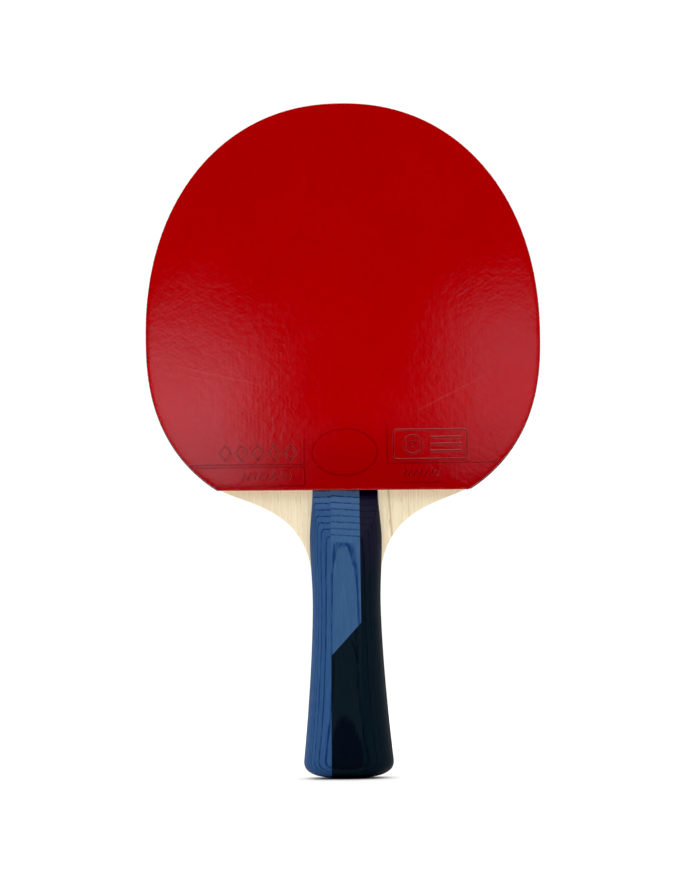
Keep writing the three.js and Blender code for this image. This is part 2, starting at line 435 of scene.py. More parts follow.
def middle_heights(share, upper):
    """Heights of one column of a middle block, counted from its lower end."""
    if upper:
        return np.linspace(scarf_z(share), SCALE_TOP_Z, UPPER_BLOCK_ROWS)
    width = float(handle_half_width(BUTT_Z)) * SECTION_FULLNESS
    depth = float(handle_half_depth(BUTT_Z))

    def on_dome(z):
        spread = (BLADE_HALF / depth) ** SECTION_POWER + abs(column_x(share, z) / width) ** SECTION_POWER
        return dome_z(spread ** (1 / SECTION_POWER))
    dome = eased(settled(BUTT_Z, on_dome), DOME_TOP_Z, SCALE_DOME_STEPS)
    return np.concatenate([dome, np.linspace(DOME_TOP_Z, scarf_z(share), LOWER_BLOCK_ROWS)[1:]])


def add_middle_block(scale, upper, name, material):
    """The middle strip's block above or below the scarf joint, as a grid of columns."""
    b = Builder()
    columns, feet = [], []
    for share in np.linspace(0, 1, MIDDLE_COLUMNS):
        z = middle_heights(share, upper)
        x = column_x(share, z)
        oval = depth_share(x / handle_half_width(z), dome_shrink(z))
        depth = scale_surface(handle_half_depth(z) * oval, z)
        if not upper:
            depth[0] = BLADE_HALF
        columns.append(b.add(scale.place(*point) for point in zip(x, depth, z)))
        feet.append(b.add(scale.place(across, BLADE_HALF, up) for across, up in zip(x, z)))
    b.grid(columns)
    for end in (0, -1):
        b.grid([columns[end], feet[end]])
        b.grid([[c[end] for c in columns], [f[end] for f in feet]])
    rim = feet[0] + [f[-1] for f in feet[1:-1]] + feet[-1][::-1] + [f[0] for f in feet[-2:0:-1]]
    b.cap(rim)
    add_piece(name + "_block", b.vertices, b.faces, material, [name])


def add_scale(side, finishes):
    scale = Scale(side)
    add_outer_strip(scale, -1, f"handle_{side}_left_strip", finishes["left"])
    add_outer_strip(scale, 1, f"handle_{side}_right_strip", finishes["right"])
    add_middle_block(scale, True, f"handle_{side}_middle_upper", finishes["upper"])
    add_middle_block(scale, False, f"handle_{side}_middle_lower", finishes["lower"])


# ---------------------------------------------------------------- rubbers

def edge_z(x, skew):
    """The height of a rubber's straight edge."""
    return RUBBER_EDGE_Z + x * math.tan(math.radians(skew))


def rubber_outline(rubber, inset, edge_lift):
    """The head's outline over the top, from the right end of the straight edge to the left end."""
    def under(angle):
        x, z = head_point(angle, inset)
        return z < edge_z(x, rubber["skew"]) + edge_lift
    right = bisect(-math.pi / 2, 0, under)
    left = bisect(1.5 * math.pi, math.pi, under)
    return [head_point(angle, inset) for angle in np.linspace(right, left, RUBBER_STEPS)]


def slab(b, levels):
    """A closed slab from rings of (x, y, z) points, given from its inner face to its outer face."""
    rings = [b.add(level) for level in levels]
    b.tube(rings)
    b.cap(rings[0][::-1])
    b.cap(rings[-1])


def at_depth(outline, y):
    return [(x, y, z) for x, z in outline]


def with_straight_edge(rubber, inset, edge_lift=0.0):
    """The outline closed by points along its straight edge."""
    head = rubber_outline(rubber, inset, edge_lift)
    (x1, z1), (x0, z0) = head[0], head[-1]
    shares = np.linspace(0, 1, RUBBER_EDGE_STEPS)[1:-1]
    edge = [(x0 + (x1 - x0) * s, z0 + (z1 - z0) * s) for s in shares]
    return head + edge


def clipped(polygon, point, inward):
    """The part of a polygon on the inward side of a line through a point."""
    kept = []
    for i, p in enumerate(polygon):
        q = polygon[(i + 1) % len(polygon)]
        a = np.dot(np.subtract(p, point), inward)
        b = np.dot(np.subtract(q, point), inward)
        if a >= 0:
            kept.append(p)
        if a * b < 0:
            kept.append(tuple(np.add(p, np.subtract(q, p) * (a / (a - b)))))
    return kept


def nearest_edge(outline, centre):
    """How far a centre is inside the outline, the nearest point on it and the way inwards there."""
    gaps = outline - centre
    i = int(np.argmin((gaps ** 2).sum(axis=1)))
    along = outline[(i + 1) % len(outline)] - outline[i - 1]
    inward = np.array([-along[1], along[0]]) / np.linalg.norm(along)
    return float(np.dot(centre - outline[i], inward)), outline[i], inward


def add_pimples(b, outline, root_y, tip_y):
    """Pimples under the skin in a band along its cut edge, where they show. The knife cuts the outer ones."""
    column_step = PIMPLE_PITCH * math.sqrt(3) / 2
    edge = np.array(outline)
    for column in PIMPLE_COLUMNS:
        for row in PIMPLE_ROWS:
            z = PIMPLE_FIELD_Z + (row + 0.5 * (column % 2)) * PIMPLE_PITCH
            centre = np.array([column * column_step, z])
            depth, point, inward = nearest_edge(edge, centre)
            if not -PIMPLE_ROOT_RADIUS * 0.75 < depth < PIMPLE_BAND:
                continue
            rings = []
            for radius in (PIMPLE_ROOT_RADIUS, PIMPLE_TIP_RADIUS):
                rings.append(clipped(ring(*centre, radius, PIMPLE_SIDES), point, inward))
            if len(rings[0]) < 3 or len(rings[0]) != len(rings[1]):
                continue
            slab(b, [at_depth(loop, y) for loop, y in zip(rings, (root_y, tip_y))])


def add_topsheet(rubber, material):
    """A skin with a worn rim, pimples under it along the cut edge, a solid middle and a raised label."""
    b = Builder()
    out, inset = rubber["out"], rubber["topsheet"]
    pimple_root = out * (RUBBER_OUT - SKIN_THICKNESS) + out * SKIN_OVERLAP

    # the rim's section: how far in from the cut edge, and the depth there
    profile = [
        (0.0, RUBBER_OUT - SKIN_THICKNESS),
        (0.0, RUBBER_OUT - 0.34),
        (0.05, RUBBER_OUT - 0.2),
        (0.16, RUBBER_OUT - 0.11),
        (0.5, RUBBER_OUT - 0.075),
        (1.6, RUBBER_OUT - 0.035),
        (3.4, RUBBER_OUT - 0.008),
        (5.0, RUBBER_OUT),
        (5.6, RUBBER_OUT),
    ]
    slab(b, [at_depth(with_straight_edge(rubber, inset + i, i), out * y) for i, y in profile])
    outline = with_straight_edge(rubber, inset)
    add_pimples(b, outline, pimple_root, out * SPONGE_OUT)
    inner = with_straight_edge(rubber, inset + PIMPLE_BAND, PIMPLE_BAND)
    slab(b, [at_depth(inner, out * SPONGE_OUT), at_depth(inner, pimple_root)])
    generic_label(b, out)
    node = rubber["side"] + "_topsheet"
    add_piece(node + "_rubber", b.vertices, b.faces, material, [node], RUBBER_SHARP_DEG)


def add_sponge(rubber, material):
    """A sheet of foam whose cut edge is a little hollow."""
    b = Builder()
    levels = []
    for share in np.linspace(0, 1, SPONGE_ROWS):
        pinch = SPONGE_PINCH + SPONGE_PINCH * math.sin(math.pi * share)
        y = rubber["out"] * (BLADE_HALF + (SPONGE_OUT - BLADE_HALF) * share)
        levels.append(at_depth(with_straight_edge(rubber, rubber["sponge"] + pinch, pinch), y))
    slab(b, levels)
    node = rubber["side"] + "_sponge"
    piece = add_piece(node + "_foam", b.vertices, b.faces, material, [node])


# ---------------------------------------------------------------- raised label on both rubbers

RELIEF_HEIGHT = 0.16
RELIEF_ROOT = 0.04


def raised_stroke(b, out, path, width, closed=False):
    """A ridge with sloping sides along a path of (x, z) points."""
    p = np.array(path, float)
    if closed:
        along = np.roll(p, -1, axis=0) - np.roll(p, 1, axis=0)
    else:
        along = np.gradient(p, axis=0)
    side = np.stack([-along[:, 1], along[:, 0]], axis=1)
    side /= np.linalg.norm(side, axis=1)[:, None]
    foot, shoulder = width / 2, width / 4
    section = [
        (-foot, -RELIEF_ROOT),
        (-shoulder, RELIEF_HEIGHT),
        (shoulder, RELIEF_HEIGHT),
        (foot, -RELIEF_ROOT),
    ]
    lines = []
    for offset, height in section:
        q = p + side * offset
        lines.append(b.add(at_depth(q, out * (RUBBER_OUT + height))))
    rings = [list(corners) for corners in zip(*lines)]
    b.tube(rings)
    if closed:
        b.tube([rings[-1], rings[0]])
    else:
        b.cap(rings[0][::-1])
        b.cap(rings[-1])


def rounded_frame(left, right, low, high, radius, steps=6):
    """A closed frame whose corners are quarter circles."""
    x0, x1 = left + radius, right - radius
    z0, z1 = low + radius, high - radius
    corners = [(x1, z1), (x0, z1), (x0, z0), (x1, z0)]
    path = []
    for quarter, (x, z) in enumerate(corners):
        for t in np.linspace(0, math.pi / 2, steps):
            angle = quarter * math.pi / 2 + t
            path.append((x + radius * math.cos(angle), z + radius * math.sin(angle)))
    return path


def turns(steps):
    """Angles at even steps round a circle, without the first one again."""
    return np.linspace(0, 2 * math.pi, steps + 1)[:-1]


def ring(x, z, radius, steps=28):
    return [(x + radius * math.cos(t), z + radius * math.sin(t)) for t in turns(steps)]


def line(x0, z0, x1, z1, steps=2):
    return list(zip(np.linspace(x0, x1, steps), np.linspace(z0, z1, steps)))


def generic_label(b, out):
    """Plain shapes where a rubber has its moulded label: diamonds, rings, a frame, bars and ruled lines.

    They are set out as seen square on to the face, so the back face turns them round.
    """
    def ridge(path, width, closed=False):
        raised_stroke(b, out, [(-out * x, z) for x, z in path][::-out], width, closed)

    def slanted_bars(start, end, step, low, high, lean, width):
        for x in spaced(start, end, step):
            ridge(line(x - lean, low, x + lean, high, 5), width)

    # the left block: a row of diamonds over two ruled lines, and slanted bars over a third
    diamond_x, diamond_step, diamond_z, half_width, half_height = -45.4, 6.2, 69.6, 2.25, 3.0
    for i in range(5):
        x = diamond_x + i * diamond_step
        corners = [
            (x + half_width, diamond_z),
            (x, diamond_z + half_height),
            (x - half_width, diamond_z),
            (x, diamond_z - half_height),
        ]
        sides = [line(*a, *c, steps=7)[:-1] for a, c in zip(corners, corners[1:] + corners[:1])]
        ridge([p for side in sides for p in side], 0.95, closed=True)
    left_block_end = -15.4
    ridge(line(-59.0, 65.2, left_block_end, 65.2, 40), 0.5)
    ridge(line(-57.0, 64.1, left_block_end, 64.1, 40), 0.4)
    slanted_bars(-38.4, -20.6, 2.2, 59.2, 62.0, 0.5, 0.85)
    ridge(line(-50.0, 57.1, left_block_end, 57.1, 40), 0.45)
    ridge(line(left_block_end, 57.1, left_block_end, 74.6, 20), 0.4)

    # the right block: two rings and three bars in a frame, ruled lines, and slanted bars
    ridge(rounded_frame(18.6, 46.6, 66.4, 77.6, 1.4), 0.85, closed=True)
    middle_z, bar_gap = 72.0, 2.6
    for radius, width in ((3.5, 0.85), (1.3, 0.8)):
        ridge(ring(25.9, middle_z, radius), width, closed=True)
    for z in (middle_z - bar_gap, middle_z, middle_z + bar_gap):
        ridge(line(32.6, z, 44.4, z, 14), 1.1)
    ridge(line(16.2, 66.0, 16.2, 79.6, 20), 0.5)
    ridge(line(16.2, 65.0, 58.6, 65.0, 40), 0.45)
    slanted_bars(22.8, 35.2, 2.05, 60.0, 62.4, 0.45, 0.8)
    ridge(line(21.6, 57.7, 36.4, 57.7, 20), 0.4)

    # the oval between them
    ridge([(12.4 * math.cos(t), 69.5 + 8.8 * math.sin(t)) for t in turns(64)], 0.34, closed=True)


# ---------------------------------------------------------------- material helpers

class Nodes:
    """A node tree, with short calls for the nodes used here."""

    def __init__(self, owner):
        owner.use_nodes = True
        self.owner = owner
        self.tree = owner.node_tree
        self.coordinates = self.tree.nodes.new("ShaderNodeTexCoord")

    def link(self, value, socket):
        if hasattr(value, "is_output"):
            self.tree.links.new(value, socket)
        else:
            socket.default_value = value

    def math(self, operation, *values, clamp=False):
        node = self.tree.nodes.new("ShaderNodeMath")
        node.operation = operation
        node.use_clamp = clamp
        for value, socket in zip(values, node.inputs):
            self.link(value, socket)
        return node.outputs[0]

    def math_vector(self, operation, *values, scale=None):
        node = self.tree.nodes.new("ShaderNodeVectorMath")
        node.operation = operation
        for value, socket in zip(values, node.inputs):
            self.link(value, socket)
        if scale is not None:
            node.inputs["Scale"].default_value = scale
        return node.outputs["Vector"]

    def split(self, vector):
        node = self.tree.nodes.new("ShaderNodeSeparateXYZ")
        self.link(vector, node.inputs[0])
        return node.outputs

    def noise(self, vector, scale, detail=3.0, roughness=0.5, distortion=0.0):
        node = self.tree.nodes.new("ShaderNodeTexNoise")
        self.link(vector, node.inputs["Vector"])
        node.inputs["Scale"].default_value = scale
        node.inputs["Detail"].default_value = detail
        node.inputs["Roughness"].default_value = roughness
        node.inputs["Distortion"].default_value = distortion
        return node.outputs["Fac"]

    def cells(self, vector, scale):
        node = self.tree.nodes.new("ShaderNodeTexVoronoi")
        self.link(vector, node.inputs["Vector"])
        node.inputs["Scale"].default_value = scale
        return node.outputs["Distance"]

    def range(self, value, low, high, to_low=0.0, to_high=1.0):
        """An S-curve from to_low to to_high, as the value goes from low to high."""
        node = self.tree.nodes.new("ShaderNodeMapRange")
        node.interpolation_type = "SMOOTHSTEP"
        self.link(value, node.inputs["Value"])
        for name, number in (("From Min", low), ("From Max", high), ("To Min", to_low), ("To Max", to_high)):
            self.link(number, node.inputs[name])
        return node.outputs["Result"]

    def mix(self, share, a, b, blend="MIX"):
        node = self.tree.nodes.new("ShaderNodeMix")
        node.data_type = "RGBA"
        node.blend_type = blend
        self.link(share, node.inputs["Factor"])
        self.link(a, node.inputs[6])
        self.link(b, node.inputs[7])
        return node.outputs[2]

    def bump(self, height, strength, distance, normal=None):
        node = self.tree.nodes.new("ShaderNodeBump")
        self.link(height, node.inputs["Height"])
        node.inputs["Strength"].default_value = strength
        node.inputs["Distance"].default_value = distance
        if normal is not None:
            self.link(normal, node.inputs["Normal"])
        return node.outputs["Normal"]


class Surface(Nodes):
    """A material's nodes, working in millimetres."""

    def __init__(self, name):
        super().__init__(bpy.data.materials.new(name))
        self.shader = self.tree.nodes["Principled BSDF"]
        self.position = self.math_vector("SCALE", self.coordinates.outputs["Object"], scale=1 / MM)

    def finish(self, base, roughness, normal=None, **sockets):
        self.link(base, self.shader.inputs["Base Color"])
        self.link(roughness, self.shader.inputs["Roughness"])
        if normal is not None:
            self.link(normal, self.shader.inputs["Normal"])
        for name, value in sockets.items():
            self.shader.inputs[name.replace("_", " ")].default_value = value
        return self.owner


def colour(red, green, blue):
    return (red, green, blue, 1.0)


# ---------------------------------------------------------------- materials

# The label is shaded from the first of these heights above the sheet, and fully from the second
RELIEF_SHADED = (0.02, 0.12)

# Between these heights the painted shade at a rubber's lower edge fades out
PAINTED_SHADE_Z = (56.0, 92.0)

# The painted shadow line's soft sides and lower end, and where it ends above its lower end, under the rubbers
SHADOW_LINE_SIDE, SHADOW_LINE_LOW, SHADOW_LINE_HIGH = 0.3, 0.1, (3, 4)


def strokes(n, x, z, marks):
    """Long thin marks that fade at both ends, each given as x0, z0, x1, z1 and a half width."""
    wander = n.math("MULTIPLY", n.math("SUBTRACT", n.noise(n.position, 0.06, 2.0), 0.5), 2.2)
    total = 0.0
    for x0, z0, x1, z1, width in marks:
        length = math.hypot(x1 - x0, z1 - z0)
        ux, uz = (x1 - x0) / length, (z1 - z0) / length
        from_x = n.math("SUBTRACT", x, x0)
        from_z = n.math("SUBTRACT", z, z0)
        across = n.math("SUBTRACT", n.math("MULTIPLY", from_z, ux), n.math("MULTIPLY", from_x, uz))
        along = n.math("ADD", n.math("MULTIPLY", from_x, ux), n.math("MULTIPLY", from_z, uz))
        near = n.range(n.math("ABSOLUTE", n.math("ADD", across, wander)), 0.0, width, 1.0, 0.0)
        fade = length * 0.3
        inside = n.math("MULTIPLY", n.range(along, 0, fade), n.range(along, length - fade, length, 1.0, 0.0))
        total = n.math("ADD", total, n.math("MULTIPLY", near, inside))
    return total


def rubber_material(name, base, pale, painted_shade_and_mottle, roughness, seed, scuffed=None, scuffs=()):
    """Moulded sheet rubber: the pimples under the skin print through. Painted shade darkens its lower edge.
    """
    n = Surface(name)
    x, y, z = n.split(n.position)
    patch = n.noise(n.math_vector("ADD", n.position, (seed, 0, 0)), 0.03, 3.0)
    fine = n.noise(n.math_vector("ADD", n.position, (0, 0, seed)), 1.6, 4.0, 0.6)

    # three waves at 60 degrees make the hexagonal field of pimples
    wave = 4 * math.pi / (math.sqrt(3) * PIMPLE_PITCH)
    up = n.math("SUBTRACT", z, PIMPLE_FIELD_Z)
    field = 0.0
    for turn in (0, 60, 120):
        c, s = math.cos(math.radians(turn)), math.sin(math.radians(turn))
        phase = n.math("ADD", n.math("MULTIPLY", x, wave * c), n.math("MULTIPLY", up, wave * s))
        field = n.math("ADD", field, n.math("COSINE", phase))
    printed = n.range(n.noise(n.math_vector("ADD", n.position, (0, seed, 9)), 0.09, 3.0, 0.6), 0.36, 0.62)
    strength = n.math("ADD", 0.25, n.math("MULTIPLY", printed, 0.75))
    pimples = n.math("MULTIPLY", n.range(field, -0.6, 2.4), strength)
    cloud = n.noise(n.math_vector("ADD", n.position, (seed, 5, 0)), 0.42, 3.0, 0.6)

    shade = n.mix(n.range(patch, 0.35, 0.7), base, pale)
    # painted shade: the sheet darkens towards its lower edge
    shade = n.mix(n.range(z, *PAINTED_SHADE_Z, 1.0, 0.0), shade, painted_shade_and_mottle)
    shade = n.mix(n.math("MULTIPLY", pimples, 0.12), shade, painted_shade_and_mottle)
    shade = n.mix(n.range(cloud, 0.42, 0.68, 0.0, 0.16), shade, painted_shade_and_mottle)
    if scuffs:
        lines = strokes(n, x, z, scuffs)
        shade = n.mix(n.math("MULTIPLY", lines, 0.06), shade, scuffed)
    low, high = RELIEF_SHADED
    raised = n.range(n.math("ABSOLUTE", y), RUBBER_OUT + low, RUBBER_OUT + high)
    shade = n.mix(raised, shade, RELIEF_SHADE, "MULTIPLY")
    rough = n.math("ADD", roughness - 0.03, n.math("MULTIPLY", n.range(fine, 0.3, 0.75), 0.07))
    rough = n.math("ADD", rough, n.math("MULTIPLY", n.range(patch, 0.4, 0.7), 0.04))
    normal = n.bump(patch, 0.45, 0.0003)
    normal = n.bump(pimples, 0.024, 0.0002, normal)
    normal = n.bump(cloud, 0.12, 0.0004, normal)
    normal = n.bump(fine, 0.06, 0.00012, normal)
    if scuffs:
        normal = n.bump(lines, 0.05, 0.0002, normal)
    return n.finish(shade, rough, normal, IOR=1.45)


def sponge_material(name, base, dark, seed):
    """Open foam on the cut edge of the sponge."""
    n = Surface(name)
    place = n.math_vector("ADD", n.position, (seed, seed, 0))
    pores = n.cells(place, 2.6)
    small = n.noise(place, 5.0, 4.0, 0.7)
    holes = n.range(n.math("ADD", pores, n.math("MULTIPLY", small, 0.35)), 0.28, 0.62)
    shade = n.mix(holes, dark, base)
    normal = n.bump(holes, 0.6, 0.00025)
    return n.finish(shade, n.range(small, 0.2, 0.8, 0.8, 0.98), normal, IOR=1.45)


def wood_material(name, pale, grain, pore, along, seed, roughness, streaks=(), shadow_line=None):
    """Plain veneer or core wood. The figure is solid, so cut edges show it end on.

    streaks lists darker lines in the grain: X at the neck, lean, half width and strength.
    shadow_line is the half width and the lower end of a painted shadow line on the wood where the
    handle scales meet the rubbers. It ends under the rubbers, so that it stays off the edge at the
    head's crown.
    """
    n = Surface(name)
    stretch = [1.0, 1.0, 1.0]
    stretch["XYZ".index(along)] = 0.03
    place = n.math_vector("ADD", n.position, (seed, seed * 2, 0))
    place = n.math_vector("MULTIPLY", place, tuple(stretch))
    broad = n.noise(place, 0.35, 3.0, 0.5, 0.6)
    fine = n.noise(place, 1.9, 5.0, 0.65, 0.3)
    fibres = n.noise(place, 5.5, 3.0, 0.7)
    vessels = n.range(n.noise(n.math_vector("MULTIPLY", place, (1, 1, 2.2)), 3.4, 1.0, 0.4), 0.62, 0.74)
    shade = n.mix(n.range(fine, 0.3, 0.75), pale, grain)
    shade = n.mix(n.math("MULTIPLY", n.range(broad, 0.45, 0.8), 0.45), shade, grain)
    shade = n.mix(n.math("MULTIPLY", vessels, 0.4), shade, pore)
    x, _, z = n.split(n.position)
    if streaks:
        wander = n.math("MULTIPLY", n.math("SUBTRACT", n.noise(place, 0.2, 1.0), 0.5), 0.8)
        from_neck = n.math("SUBTRACT", z, NECK_Z)
        for centre, lean, width, strength in streaks:
            straight_x = n.math("ADD", n.math("ADD", x, wander), n.math("MULTIPLY", from_neck, lean))
            near = n.range(n.math("ABSOLUTE", n.math("SUBTRACT", straight_x, centre)), 0, width, 1.0, 0.0)
            shade = n.mix(n.math("MULTIPLY", near, strength), shade, pore)
    # painted shadow: a dark line on the wood in the gap under the rubbers' straight edges
    if shadow_line:
        half_width, low = shadow_line
        inside = n.range(n.math("ABSOLUTE", x), half_width - SHADOW_LINE_SIDE, half_width, 1.0, 0.0)
        below_end = n.range(z, low + SHADOW_LINE_HIGH[0], low + SHADOW_LINE_HIGH[1], 1.0, 0.0)
        band = n.math("MULTIPLY", n.range(z, low - SHADOW_LINE_LOW, low), below_end)
        shade = n.mix(n.math("MULTIPLY", inside, band), shade, PAINTED_SHADOW)
    normal = n.bump(fibres, 0.12, 0.00015)
    normal = n.bump(vessels, -0.25, 0.0001, normal)
    rough = n.math("ADD", roughness, n.math("MULTIPLY", n.range(fine, 0.3, 0.7), 0.1))
    return n.finish(shade, rough, normal, IOR=1.45, Specular_IOR_Level=0.3)


def veneer_material(
    name, stains, seed, offset, tilt, out, ripples=1.0, contrast=1.0, patch=None, shoulder=None, marks=()
):
    """Pressed dyed veneers about 1 mm thick, parallel to the blade.

    The layers are planes in depth, so the shaped surface cuts them into contour lines. Each layer
    is darkest just under its glue line. offset is the depth of one glue line, and tilt leans the
    layers across the handle. patch is a dyed flame in the line's colour: the height of its tip and
    the depth of the surface there. shoulder is a colour that takes over between two heights: on the
    black strip a purplish tone over its upper part, on the blue blocks painted light that lifts the
    shade under the rubbers' edges. marks are long streaks in the grain.
    """
    pale, dark, glued = stains
    n = Surface(name)
    x, y, z = n.split(n.position)
    moved = n.math_vector("ADD", n.position, (seed, 0, seed * 3))
    stretched = n.math_vector("MULTIPLY", moved, (1.0, 1.0, 0.05))
    ripple = n.math("MULTIPLY", n.math("SUBTRACT", n.noise(stretched, 0.7, 4.0, 0.65), 0.5), 0.34 * ripples)
    wave = n.math("MULTIPLY", n.math("SUBTRACT", n.noise(stretched, 0.12, 1.0), 0.5), 0.12 * ripples)
    depth = n.math("MULTIPLY", y, float(out))
    depth = n.math("ADD", depth, n.math("MULTIPLY", x, tilt * -out))
    depth = n.math("ADD", depth, n.math("ADD", ripple, wave))
    layer = n.math("ADD", n.math("SUBTRACT", depth, offset), 20.0)
    share = n.math("FRACT", layer)
    glue = n.math("MULTIPLY", n.range(share, 0.68, 0.88), n.range(share, 0.96, 1.0, 1.0, 0.0))
    thin = n.range(n.math("ABSOLUTE", n.math("SUBTRACT", share, 0.5)), 0.46, 0.5)

    # a hash of the layer's number gives each layer a tone of its own
    index = n.math("FLOOR", layer)
    scattered = n.math("SINE", n.math("MULTIPLY", index, 12.9898 + seed))
    tone = n.math("FRACT", n.math("MULTIPLY", scattered, 43.758))
    fibres = n.noise(n.math_vector("MULTIPLY", n.position, (1.0, 1.0, 0.035)), 4.5, 4.0, 0.65)
    broad = n.noise(stretched, 0.9, 3.0, 0.55, 0.5)
    broken = n.math_vector("MULTIPLY", n.math_vector("ADD", n.position, (0, seed, 0)), (1.0, 1.0, 0.22))

    faint = n.range(n.noise(broken, 0.9, 2.0), 0.34, 0.6, 0.45, 1.0)
    shade = n.mix(n.range(fibres, 0.38, 0.64, 0.0, 0.7), pale, dark)
    shade = n.mix(n.math("MULTIPLY", n.range(broad, 0.4, 0.7), 0.5 * contrast), shade, dark)
    shade = n.mix(n.math("MULTIPLY", tone, 0.3 * contrast), shade, dark)
    # on the blue blocks this is painted light: a lighter blue at the scale tops, where the rubbers' edges
    # shade them
    if shoulder is not None:
        upper_colour, low, high = shoulder
        shade = n.mix(n.range(z, low, high, 0.0, 0.85), shade, upper_colour)
    shade = n.mix(n.math("MULTIPLY", glue, n.math("MULTIPLY", faint, contrast), clamp=True), shade, glued)
    if patch is not None:
        tip_z, tip_depth = patch
        ragged = n.math("MULTIPLY", n.math("SUBTRACT", n.noise(broken, 1.7, 3.0, 0.65), 0.5), 0.38)
        opening = n.math("MULTIPLY", n.math("SUBTRACT", tip_z, z), 0.02)
        flame = n.math("ADD", n.math("ADD", depth, ragged), opening)
        shade = n.mix(n.range(flame, tip_depth - 0.05, tip_depth + 0.05, 0.0, 0.8), shade, glued)
    if marks:
        shade = n.mix(n.math("MULTIPLY", strokes(n, x, z, marks), 0.9, clamp=True), shade, glued)
    normal = n.bump(fibres, 0.10, 0.00012)
    normal = n.bump(thin, -0.12, 0.0001, normal)
    rough = n.math("ADD", 0.45, n.math("MULTIPLY", n.range(fibres, 0.3, 0.7), 0.12))
    return n.finish(shade, rough, normal, IOR=1.5, Specular_IOR_Level=0.08)


# ---------------------------------------------------------------- the paddle

FACE_WOOD = (colour(0.93, 0.82, 0.59), colour(0.81, 0.665, 0.435), colour(0.46, 0.31, 0.16))
# the colour of the painted shadow line under the rubbers' edges
PAINTED_SHADOW = colour(0.045, 0.030, 0.030)
INNER_WOOD = (colour(0.50, 0.33, 0.17), colour(0.40, 0.25, 0.12), colour(0.22, 0.12, 0.05))
CORE_WOOD = (colour(0.74, 0.60, 0.38), colour(0.62, 0.47, 0.28), colour(0.38, 0.26, 0.14))
BLUE = (colour(0.046, 0.111, 0.224), colour(0.027, 0.078, 0.186), colour(0.008, 0.035, 0.122))
# the left strips' blue, darker than the middle's: partly its own tone, partly painted shade for the light its
# sideways faces catch
SIDE_BLUE_TONE_AND_SHADE = (colour(0.033, 0.091, 0.206), colour(0.018, 0.060, 0.165), colour(0.005, 0.026, 0.106))
BLACK = (colour(0.0050, 0.0112, 0.0172), colour(0.0034, 0.0074, 0.0110), colour(0.0016, 0.0024, 0.0066))
SIDE_BLACK = (colour(0.0030, 0.0085, 0.0140), colour(0.0019, 0.0056, 0.0096), colour(0.0008, 0.0020, 0.0055))
# painted light: a lighter blue over the scales' tops, which the rubbers' edges shade
BLUE_PAINTED_LIGHT = (colour(0.100, 0.200, 0.400), 46.5, 57)
BLACK_SHOULDER = (colour(0.0100, 0.0085, 0.0215), 14, 40)
FLAME = (-31.3, 11.68)
FACE_STREAKS = [(16.4, 0.064, 0.7, 0.6), (24.0, 0.03, 0.4, 0.2)]
SHADOW_LINE = (handle_half_width(SCALE_TOP_Z), SCALE_TOP_Z)
SIDES = (("front", -1), ("back", 1))

core_wood = wood_material("core_wood", *CORE_WOOD, "Z", 3, 0.6)
add_ply("blade_core_ply", -CORE_HALF, CORE_HALF, core_wood)
inner_wood = wood_material("inner_veneer", *INNER_WOOD, "X", 11, 0.6)
add_ply("blade_inner_ply_front", -CORE_HALF, -INNER_HALF, inner_wood)
add_ply("blade_inner_ply_back", CORE_HALF, INNER_HALF, inner_wood)
face_wood = wood_material("face_veneer", *FACE_WOOD, "Z", 23, 0.48, FACE_STREAKS, SHADOW_LINE)
add_ply("blade_face_ply_front", -INNER_HALF, -BLADE_HALF, face_wood, FACE_SANDING)
add_ply("blade_face_ply_back", INNER_HALF, BLADE_HALF, face_wood, FACE_SANDING)


def scale_finishes(side, out):
    """The dyed veneers of one handle scale's four blocks."""
    streak = [(-out * 1.2, 0.5, -out * 4.6, -12.0, 0.45)]
    return {
        "left": veneer_material(
            f"blue_veneer_left_{side}", SIDE_BLUE_TONE_AND_SHADE, 5, 0.14, 0.0, out, contrast=1.2, shoulder=BLUE_PAINTED_LIGHT
        ),
        "upper": veneer_material(
            f"blue_veneer_middle_{side}", BLUE, 9, 0.14, -0.03, out, ripples=0.7, shoulder=BLUE_PAINTED_LIGHT
        ),
        "right": veneer_material(
            f"black_veneer_right_{side}", SIDE_BLACK, 14, 0.5, 0.0, out, contrast=0.7, shoulder=BLACK_SHOULDER
        ),
        "lower": veneer_material(
            f"black_veneer_middle_{side}", BLACK, 19, 0.35, -0.03, out, 0.3, 0.6, patch=FLAME, marks=streak
        ),
    }


for side, out in SIDES:
    add_scale(side, scale_finishes(side, out))

SCUFFS = [
    (-67.0, 104.6, -27.0, 94.2, 0.8),
    (-66.0, 101.0, -46.0, 96.6, 0.5),
    (22.0, 82.0, 60.0, 101.0, 0.7),
]
SCUFFED_RED = colour(0.62, 0.16, 0.17)
RELIEF_SHADE = colour(0.6, 0.6, 0.6)
# the third colour is the darker tone for the painted shade at the lower edge and for the mottling
RED = (colour(0.405, 0.0008, 0.0016), colour(0.42, 0.0012, 0.002), colour(0.295, 0.0006, 0.0018))
DARK = (colour(0.0125, 0.0125, 0.0135), colour(0.0145, 0.0145, 0.0155), colour(0.0105, 0.0105, 0.0115))
red = rubber_material("red_rubber", *RED, 0.15, 7, SCUFFED_RED, SCUFFS)
black = rubber_material("black_rubber", *DARK, 0.17, 41)
add_topsheet(FOREHAND, red)
add_topsheet(BACKHAND, black)
foam = sponge_material("sponge", colour(0.74, 0.42, 0.17), colour(0.42, 0.20, 0.06), 5)
add_sponge(FOREHAND, foam)
add_sponge(BACKHAND, foam)


# ---------------------------------------------------------------- floor, light and camera

